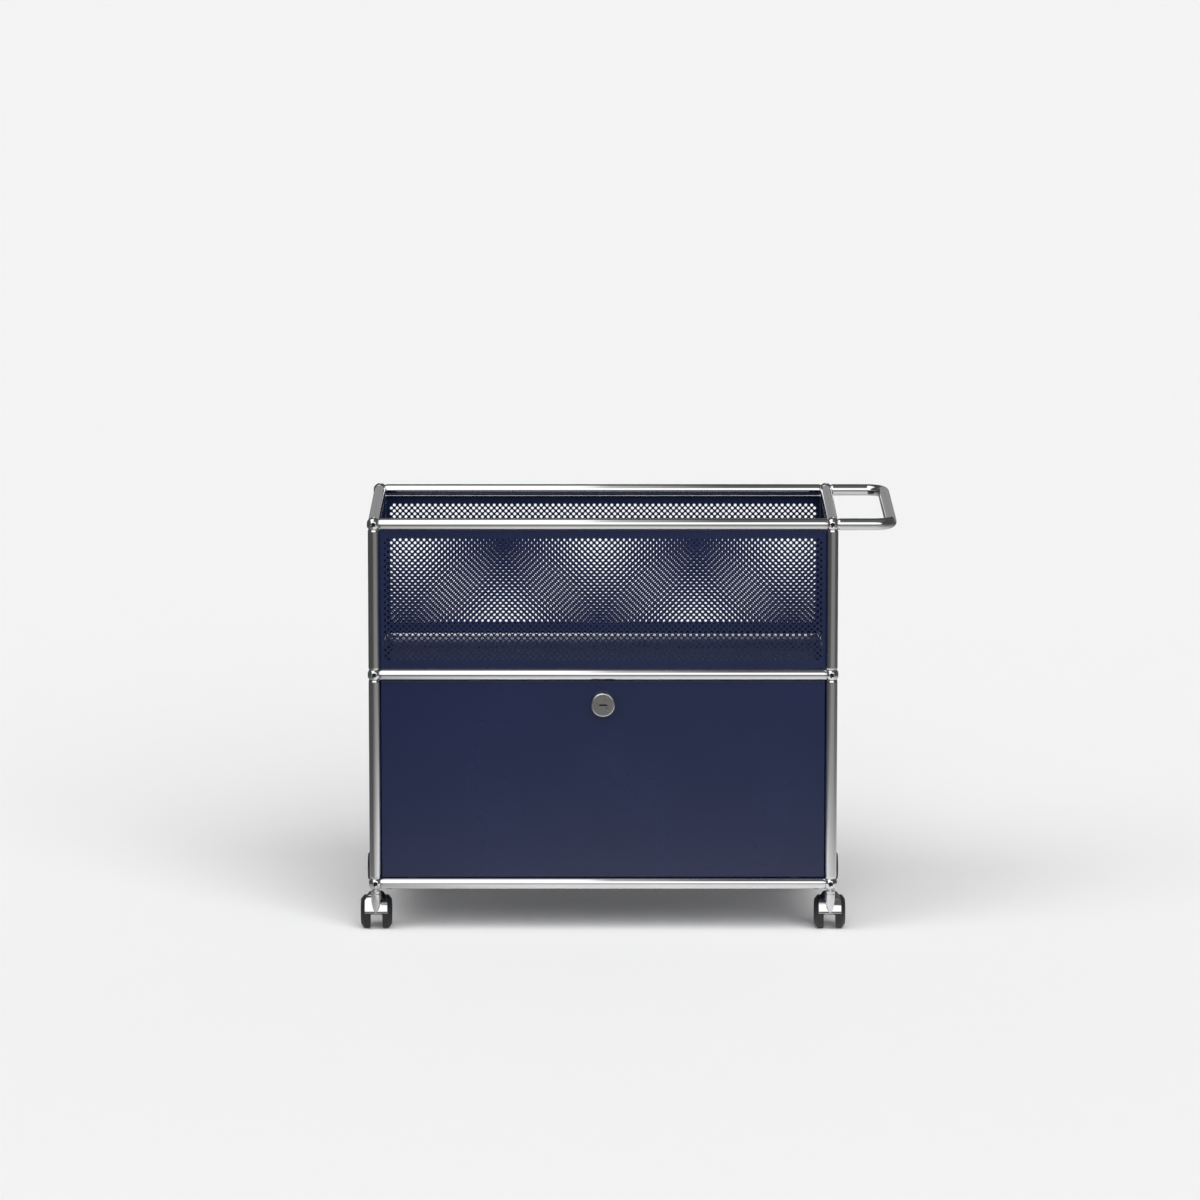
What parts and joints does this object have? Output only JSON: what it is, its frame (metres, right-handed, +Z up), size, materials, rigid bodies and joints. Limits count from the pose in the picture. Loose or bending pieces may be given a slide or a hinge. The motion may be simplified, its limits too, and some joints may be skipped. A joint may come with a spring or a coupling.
{
  "type": "media trolley",
  "caption": "Media trolley of chromed tubes and ball joints with a perforated open bay above a drop-down door cabinet, a push handle and swivelling twin-wheel casters.",
  "frame": {"origin": "on the floor, under the middle of the outline with the push handle and the casters", "axes": "+X towards the push handle, -Y out of the door's front, +Z up"},
  "size_m": [0.881, 0.4318, 0.6951],
  "materials": {
    "chrome": "polished",
    "paint": "semi-gloss powder coat",
    "steel": "zinc plated",
    "satin": "satin nickel",
    "rubber": "satin"
  },
  "bodies": {
    "frame": {"ball_front_left_bottom": "chrome", "ball_front_right_bottom": "chrome", "ball_back_left_bottom": "chrome", "ball_back_right_bottom": "chrome", "ball_front_left_middle": "chrome", "ball_front_right_middle": "chrome", "ball_back_left_middle": "chrome", "ball_back_right_middle": "chrome", "ball_front_left_top": "chrome", "ball_front_right_top": "chrome", "ball_back_left_top": "chrome", "ball_back_right_top": "chrome", "tube_front_bottom": "chrome", "tube_back_bottom": "chrome", "tube_left_bottom": "chrome", "tube_right_bottom": "chrome", "tube_front_middle": "chrome", "tube_back_middle": "chrome", "tube_left_middle": "chrome", "tube_right_middle": "chrome", "tube_front_top": "chrome", "tube_back_top": "chrome", "tube_left_top": "chrome", "tube_right_top": "chrome", "post_front_left_lower": "chrome", "post_front_right_lower": "chrome", "post_back_left_lower": "chrome", "post_back_right_lower": "chrome", "post_front_left_upper": "chrome", "post_front_right_upper": "chrome", "post_back_left_upper": "chrome", "post_back_right_upper": "chrome", "push_handle": "chrome", "perforated_panel_front": "paint", "perforated_panel_back": "paint", "perforated_panel_left": "paint", "perforated_panel_right": "paint", "cabinet_panel_back": "paint", "cabinet_panel_left": "paint", "cabinet_panel_right": "paint", "shelf_middle": "paint", "shelf_bottom": "paint", "hinge_left": "steel", "hinge_right": "steel"},
    "door": {"door": "paint", "lock_knob": "satin"},
    "lock": {"lock_plug": "satin", "lock_cam": "steel"},
    "caster_front_left": {"caster_front_left_fork": "chrome"},
    "caster_front_left_wheel_left": {"caster_front_left_wheel_left": "rubber"},
    "caster_front_left_wheel_right": {"caster_front_left_wheel_right": "rubber"},
    "caster_front_right": {"caster_front_right_fork": "chrome"},
    "caster_front_right_wheel_left": {"caster_front_right_wheel_left": "rubber"},
    "caster_front_right_wheel_right": {"caster_front_right_wheel_right": "rubber"},
    "caster_back_left": {"caster_back_left_fork": "chrome"},
    "caster_back_left_wheel_left": {"caster_back_left_wheel_left": "rubber"},
    "caster_back_left_wheel_right": {"caster_back_left_wheel_right": "rubber"},
    "caster_back_right": {"caster_back_right_fork": "chrome"},
    "caster_back_right_wheel_left": {"caster_back_right_wheel_left": "rubber"},
    "caster_back_right_wheel_right": {"caster_back_right_wheel_right": "rubber"}
  },
  "joints": [
    {"name": "door_hinge", "type": "hinge", "parent": "frame", "child": "door", "pos_m": [-0.03995, -0.2009, 0.0976], "axis": [1, 0, 0], "range_deg": [0, 90]},
    {"name": "lock_turn", "type": "hinge", "parent": "door", "child": "lock", "pos_m": [-0.03995, -0.2039, 0.3854], "axis": [0, 1, 0], "range_deg": [0, 90]},
    {"name": "caster_front_left_swivel", "type": "hinge", "parent": "frame", "child": "caster_front_left", "pos_m": [-0.41495, -0.2039, 0.0844], "axis": [0, 0, 1], "continuous": true},
    {"name": "caster_front_left_wheel_left_spin", "type": "hinge", "parent": "caster_front_left", "child": "caster_front_left_wheel_left", "pos_m": [-0.41495, -0.1619, 0.0278], "axis": [1, 0, 0], "continuous": true},
    {"name": "caster_front_left_wheel_right_spin", "type": "hinge", "parent": "caster_front_left", "child": "caster_front_left_wheel_right", "pos_m": [-0.41495, -0.1619, 0.0278], "axis": [1, 0, 0], "continuous": true},
    {"name": "caster_front_right_swivel", "type": "hinge", "parent": "frame", "child": "caster_front_right", "pos_m": [0.33505, -0.2039, 0.0844], "axis": [0, 0, 1], "continuous": true},
    {"name": "caster_front_right_wheel_left_spin", "type": "hinge", "parent": "caster_front_right", "child": "caster_front_right_wheel_left", "pos_m": [0.33505, -0.1619, 0.0278], "axis": [1, 0, 0], "continuous": true},
    {"name": "caster_front_right_wheel_right_spin", "type": "hinge", "parent": "caster_front_right", "child": "caster_front_right_wheel_right", "pos_m": [0.33505, -0.1619, 0.0278], "axis": [1, 0, 0], "continuous": true},
    {"name": "caster_back_left_swivel", "type": "hinge", "parent": "frame", "child": "caster_back_left", "pos_m": [-0.41495, 0.1461, 0.0844], "axis": [0, 0, 1], "continuous": true},
    {"name": "caster_back_left_wheel_left_spin", "type": "hinge", "parent": "caster_back_left", "child": "caster_back_left_wheel_left", "pos_m": [-0.41495, 0.1881, 0.0278], "axis": [1, 0, 0], "continuous": true},
    {"name": "caster_back_left_wheel_right_spin", "type": "hinge", "parent": "caster_back_left", "child": "caster_back_left_wheel_right", "pos_m": [-0.41495, 0.1881, 0.0278], "axis": [1, 0, 0], "continuous": true},
    {"name": "caster_back_right_swivel", "type": "hinge", "parent": "frame", "child": "caster_back_right", "pos_m": [0.33505, 0.1461, 0.0844], "axis": [0, 0, 1], "continuous": true},
    {"name": "caster_back_right_wheel_left_spin", "type": "hinge", "parent": "caster_back_right", "child": "caster_back_right_wheel_left", "pos_m": [0.33505, 0.1881, 0.0278], "axis": [1, 0, 0], "continuous": true},
    {"name": "caster_back_right_wheel_right_spin", "type": "hinge", "parent": "caster_back_right", "child": "caster_back_right_wheel_right", "pos_m": [0.33505, 0.1881, 0.0278], "axis": [1, 0, 0], "continuous": true}
  ]
}
